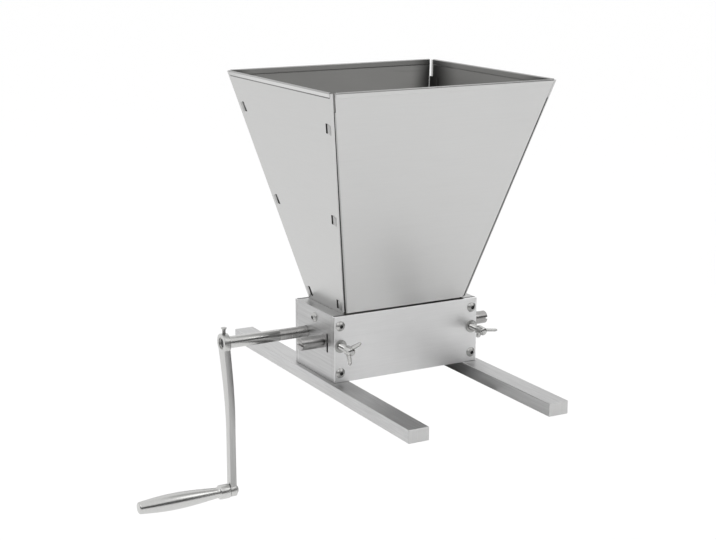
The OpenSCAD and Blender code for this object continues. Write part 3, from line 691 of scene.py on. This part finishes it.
# A painted shadow darkens each cover plate's top under the hopper's foot
for side in ("front", "back"):
    paint_shadow_under_foot(eased_copy(side + "_plate", "frame", COVER_PLATE, BURR,
                                soft=PLATE_SOFT_ANGLE, ends=(END_PLATE, X_AXIS)))
for node, finish in (
        ("front_plate_screws", SCREW), ("back_plate_screws", SCREW), ("hopper_screws", CROSS_SCREW),
        ("wing_screw_washers", SCREW)):
    eased_copy(node, "frame", finish, BURR)


def shade_sockets(name, axis, centres, bottom):
    """Painted shade in the hexagon sockets: every face near a screw's axis and above the sockets' bottoms."""
    def in_socket(middle, normal):
        across = [middle[i] for i in range(3) if i != axis]
        near = min(math.dist(across, centre) for centre in centres)
        return near < SOCKET_REACH and abs(middle[axis]) > bottom

    shade(bpy.data.objects[name], SOCKET, in_socket)


shade_sockets("front_plate_screws_dressed", Y_AXIS, COVER_SCREWS, COVER_SOCKET)
shade_sockets("back_plate_screws_dressed", Y_AXIS, COVER_SCREWS, COVER_SOCKET)
shade_sockets("hopper_screws_dressed", X_AXIS, HOPPER_SCREWS, HOPPER_SOCKET)


# Gap adjusters and their wing screws

STUB_EDGE = 0.25
# Half outline of a wing screw along its axis from its boss's foot, as (along, radius)
SHANK_TIP = [(-28.45, 0.0), (-28.45, 2.3)]
THREAD_FROM, THREAD_TO, THREAD_ROOT, THREAD_CREST = -27.8, -0.7, 2.55, 2.98
PITCH, CREST_FROM, CREST_TO = 1.0, 0.45, 0.55
BOSS = [(-0.4, 2.6), (0.0, 2.6), (0.0, 3.9), (0.4, 4.3), (8.0, 3.75), (8.7, 3.55), (9.2, 3.1), (9.6, 2.3),
        (9.8, 1.3), (9.9, 0.0)]
# The circles that a wing goes round, as (along, outwards, radius)
WING_CIRCLES, WING_STEPS = ((4.5, 2.15, 2.4), (14.0, 9.5, 2.0)), 28
WING_HALF, WING_FLAT_ANGLE, WING_SHARP_ANGLE = 0.85, 0.5, 60
WING_EDGE, WING_EDGE_STEPS = 0.55, 3
BOSS_FOOT_Y, WING_Z = -52.5, 46.4

for side in ("left", "right"):
    eased_copy(side + "_gap_adjuster", side + "_adjuster", SHAFT, STUB_EDGE)


def thread(start, end, root, crest):
    """Crests and roots of a thread along a screw."""
    places = []
    along = start
    while along + PITCH < end:
        places += [(along, root), (along + CREST_FROM, crest), (along + CREST_TO, crest)]
        along += PITCH
    return places + [(end, root)]


def wing_blade(bm, flip):
    """One wing: a slab round two circles, with soft rims."""
    rims = []
    for along, out, radius in WING_CIRCLES:
        for face in (-WING_HALF, WING_HALF):
            place = Matrix.Translation((along, flip * out, face))
            rims += bmesh.ops.create_circle(bm, cap_ends=False, segments=WING_STEPS, radius=radius,
                                            matrix=place)["verts"]
    hull = bmesh.ops.convex_hull(bm, input=rims)
    bmesh.ops.delete(bm, geom=new_verts(hull["geom_interior"]), context="VERTS")
    shell = [vert for vert in rims if vert.is_valid]
    edges = list({edge for vert in shell for edge in vert.link_edges})
    bmesh.ops.dissolve_limit(bm, angle_limit=math.radians(WING_FLAT_ANGLE), verts=shell, edges=edges)
    shell = [vert for vert in shell if vert.is_valid]
    rim_edges = sharp_edges({edge for vert in shell for edge in vert.link_edges}, WING_SHARP_ANGLE)
    ease(bm, rim_edges, WING_EDGE, WING_EDGE_STEPS)


def wing_screw(side, body, node, x, angle):
    bm = bmesh.new()
    turn(bm, SHANK_TIP + thread(THREAD_FROM, THREAD_TO, THREAD_ROOT, THREAD_CREST) + BOSS)
    for flip in (-1, 1):
        wing_blade(bm, flip)
    lean = math.radians(angle)
    place = basis((x, BOSS_FOOT_Y, WING_Z), (0, -1, 0), (math.cos(lean), 0, math.sin(lean)),
                  (-math.sin(lean), 0, math.cos(lean)))
    bm.transform(TO_METRES @ place)
    set_down(side + "_wing_screw_cast", bm, body, WING, [node])


wing_screw("left", "left_wing", "left_wing_screw", x=-70.0, angle=60)
wing_screw("right", "right_wing", "right_wing_screw", x=70.0, angle=10)


# Drive shaft, crank and grip

SHAFT_EDGE, SLEEVE_EDGE, ARM_ROUND, ARM_ROUND_STEPS = 0.2, 0.3, 0.4, 3
# Where the shaft's outer end lies in the arm's hub, the arm's flat stretch, and the clamp screw's neck
SHAFT_OUTER_X = -160
ARM_LOW, ARM_HIGH = -88, 38
CLAMP_NECK_Z, UPRIGHT = 59.8, 0.3

shaft = eased_copy("drive_shaft", "drive", SHAFT, SHAFT_EDGE)
# Painted shade on the shaft's outer end, deep in the arm's hub
shade(shaft, SOCKET, lambda middle, normal: middle.x < SHAFT_OUTER_X)
eased_copy("crank_sleeve", "drive", SLEEVE, SLEEVE_EDGE)
arm = eased_copy("crank_arm", "drive", ARM, ARM_ROUND, ARM_ROUND_STEPS)
# Painted shade: the arm's front and back sides along its flat stretch take a darker finish
shade(arm, ARM_SIDE_SHADE, lambda middle, normal: abs(normal.y) > NEARLY_SQUARE and ARM_LOW < middle.z < ARM_HIGH)
clamp_screw = eased_copy("crank_clamp_screw", "drive", SCREW, SHAFT_EDGE)
# Painted shade on the clamp screw's neck, where it goes into the hub
shade(clamp_screw, ROLLER, lambda middle, normal: abs(normal.z) < UPRIGHT and middle.z < CLAMP_NECK_Z)
eased_copy("handle_spindle", "drive", SHAFT, SHAFT_EDGE)

# Grip, as (along, radius) from the arm: bore with the clip's groove, collar, neck, belly and tip
BORE = [(60.3, 0.0), (60.3, 3.05), (50.8, 3.05), (50.8, 4.3), (49.2, 4.3), (49.2, 3.05), (0.0, 3.05)]
COLLAR_R, COLLAR_ROUND, COLLAR_ANGLES = 6.75, 1.0, (0, 0.4, 0.8, 1.2, math.pi / 2)
COLLAR_FOOT = [(9.2, COLLAR_R), (9.7, 6.6), (10.0, 6.25), (10.3, 5.85), (10.9, 5.45), (11.7, 5.15), (12.6, 5.02)]
NECK_AT, NECK_R, NECK_STEPS = 13.5, 5.0, 18
BELLY_AT, BELLY_R, BELLY_STEPS = 55.0, 7.75, 16
TIP_AT, TIP_R = 87.5, 5.6
TIP = [(88.1, 5.4), (88.6, 5.0), (88.9, 4.4), (89.0, 3.6), (89.0, 0.0)]
GRIP_PLACE, GRIP_STEPS = (-158.0, 16.7, -95.5), 96


def grip_profile():
    """Half outline of the grip, from the bottom of its bore round the collar and belly to the tip."""
    outline = BORE + [(COLLAR_ROUND * (1 - math.cos(a)), COLLAR_R - COLLAR_ROUND * (1 - math.sin(a)))
                      for a in COLLAR_ANGLES]
    outline += COLLAR_FOOT
    for i in range(0, NECK_STEPS + 1):
        outline.append((NECK_AT + (BELLY_AT - NECK_AT) * i / NECK_STEPS,
                        NECK_R + (BELLY_R - NECK_R) * math.sin(math.pi / 2 * i / NECK_STEPS)))
    for i in range(1, BELLY_STEPS + 1):
        outline.append((BELLY_AT + (TIP_AT - BELLY_AT) * i / BELLY_STEPS,
                        BELLY_R - (BELLY_R - TIP_R) * (1 - math.cos(math.pi / 2 * i / BELLY_STEPS))))
    return outline + TIP


def grip():
    bm = bmesh.new()
    turn(bm, grip_profile(), GRIP_STEPS)
    bm.transform(TO_METRES @ basis(GRIP_PLACE, (-1, 0, 0), (0, -1, 0), (0, 0, 1)))
    set_down("grip_turned", bm, "grip", GRIP, ["handle_grip"], GRIP_SOFT_ANGLE)


grip()


# Solids whose shape is finished already take a finish only

for node, finish in (
        ("base_bar_screws", SCREW), ("hopper_nuts", CROSS_SCREW), ("drive_roller", ROLLER),
        ("idler_roller", ROLLER), ("left_drive_bush", BRONZE), ("right_drive_bush", BRONZE),
        ("left_idler_bush", BRONZE), ("right_idler_bush", BRONZE), ("spindle_clip", CROSS_SCREW)):
    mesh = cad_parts[node].data
    mesh.materials.clear()
    mesh.materials.append(finish)


# Studio: white floor and sky, two soft lamps, and a dark curtain and boards that the metal mirrors

FLOOR_Z, FLOOR_SIZE = -0.45, 30
MATT = 0.9
CURTAIN_STEPS = 36


def plain_finish(name, grey):
    finish = bpy.data.materials.new(name)
    finish.use_nodes = True
    shader = finish.node_tree.nodes["Principled BSDF"]
    shader.inputs["Base Color"].default_value = (grey, grey, grey, 1.0)
    shader.inputs["Roughness"].default_value = MATT
    return finish


def put_on_stage(name, bm, finish):
    mesh = bpy.data.meshes.new(name)
    bm.to_mesh(mesh)
    bm.free()
    mesh.materials.append(finish)
    sheet = bpy.data.objects.new(name, mesh)
    scene.collection.objects.link(sheet)
    return sheet


def stage_sheet(name, finish, place, wide, high):
    bm = bmesh.new()
    bmesh.ops.create_grid(bm, x_segments=1, y_segments=1, size=0.5,
                          matrix=place @ Matrix.Diagonal((wide, high, 1, 1)))
    return put_on_stage(name, bm, finish)


def curtain(name, finish, radius, low, high, start, sweep):
    """A hanging cloth on a round rail, from one bearing to another; bearings run from the front to the right."""
    bm = bmesh.new()
    row = chain(bm, [(0, -radius, low), (0, -radius, high)])
    bmesh.ops.rotate(bm, verts=row, cent=(0, 0, 0), matrix=Matrix.Rotation(math.radians(start), 3, "Z"))
    bmesh.ops.spin(bm, geom=row + row_edges(bm, row), cent=(0, 0, 0), axis=(0, 0, 1), dvec=(0, 0, 0),
                   angle=math.radians(sweep), steps=CURTAIN_STEPS, use_merge=False, use_duplicate=False)
    return put_on_stage(name, bm, finish)


def unseen(thing):
    """Seen only in the metal: it doesn't show to the camera, cast a shadow or dim the floor."""
    thing.visible_camera = False
    thing.visible_shadow = False
    thing.visible_diffuse = False


stage_sheet("floor", plain_finish("floor_white", 1.0), Matrix.Translation((0, 0, FLOOR_Z)),
            FLOOR_SIZE, FLOOR_SIZE)
unseen(curtain("dark_curtain", plain_finish("curtain_grey", 0.05), radius=2.8, low=-0.33, high=1.45,
               start=-100, sweep=235))
# Boards: name, finish, grey, middle, turn round Y in degrees, width and length
for name, finish, grey, middle, turned, wide, high in (
        ("board_edge", "edge_dark", 0.10, (-0.0795, 0, -0.031), 90, 0.058, 1.3),
        ("bounce_board", "board_white", 0.92, (0.22, 0, -0.0015), 0, 0.6, 1.3),
        # The strip between the bars is painted shade: it stands for the shaded floor under the body, which the
        # right bar's inner side mirrors
        ("grey_strip", "painted_shade_grey", 0.45, (0.0535, 0.04, -0.001), 0, 0.015, 0.26)):
    place = Matrix.Translation(middle) @ Matrix.Rotation(math.radians(turned), 4, "Y")
    unseen(stage_sheet(name, plain_finish(finish, grey), place, wide, high))


def white_world():
    world = bpy.data.worlds.new("white_studio")
    world.use_nodes = True
    scene.world = world
    back = world.node_tree.nodes["Background"]
    back.inputs["Color"].default_value = (1, 1, 1, 1)
    back.inputs["Strength"].default_value = 1.0


white_world()


def soft_lamp(name, place, aim, size, power):
    lamp = bpy.data.lights.new(name, "AREA")
    lamp.shape = "SQUARE"
    lamp.size = size
    lamp.energy = power
    holder = bpy.data.objects.new(name, lamp)
    holder.location = place
    holder.rotation_mode = "QUATERNION"
    holder.rotation_quaternion = (Vector(aim) - Vector(place)).to_track_quat("-Z", "Y")
    scene.collection.objects.link(holder)


soft_lamp("soft_box_left", place=(-1.7, -1.1, 1.9), aim=(0, 0, 0.08), size=1.2, power=6.0)
soft_lamp("soft_box_right", place=(1.17, -1.38, 1.75), aim=(0, 0, 0.0), size=0.8, power=3.2)


# Camera at the photograph's angle: its place, the direction behind it, and its sensor and lens in millimetres

EYE = Vector((-0.6767, -1.1831, 0.4290))
BACK = Vector((-0.466, -0.8529, 0.2341))
SENSOR_WIDTH, LENS = 36.0, 75.06

camera = bpy.data.cameras.new("camera")
camera.sensor_width = SENSOR_WIDTH
camera.lens = LENS
viewer = bpy.data.objects.new("camera", camera)
viewer.location = EYE
viewer.rotation_mode = "QUATERNION"
viewer.rotation_quaternion = (-BACK).to_track_quat("-Z", "Y")
scene.collection.objects.link(viewer)
scene.camera = viewer
